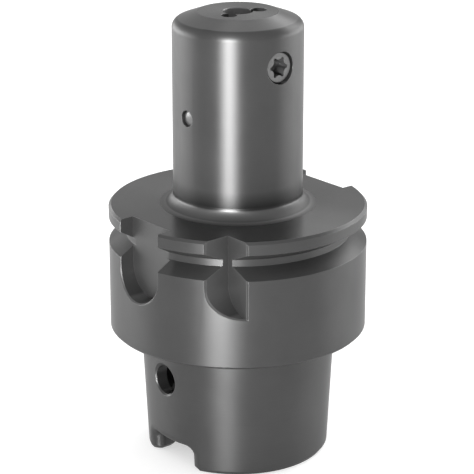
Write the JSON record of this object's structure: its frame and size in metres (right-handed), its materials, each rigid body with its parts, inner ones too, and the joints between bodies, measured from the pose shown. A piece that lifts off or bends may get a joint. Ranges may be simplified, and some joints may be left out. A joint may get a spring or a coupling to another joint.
{
  "type": "grooving tool holder with hollow taper shank",
  "caption": "Steel grooving tool holder with a hollow taper shank, a gripper flange with keyways, and a slim nose whose bore takes a small round bar clamped by a side set screw.",
  "frame": {"origin": "centre of the flange's contact face, on the shank's axis", "axes": "+Z along the shank's axis, out of the spindle towards the tool; -X through the narrow keyway and the taper's radial hole; -Y through the clamping screw"},
  "size_m": [0.04, 0.04, 0.07],
  "materials": {
    "body_steel": "satin, dark burnished",
    "screw_steel": "satin",
    "pin_steel": "ground"
  },
  "bodies": {
    "root": {"holder_body": "body_steel", "clamping_screw": "screw_steel", "locating_pin": "pin_steel"}
  },
  "joints": []
}
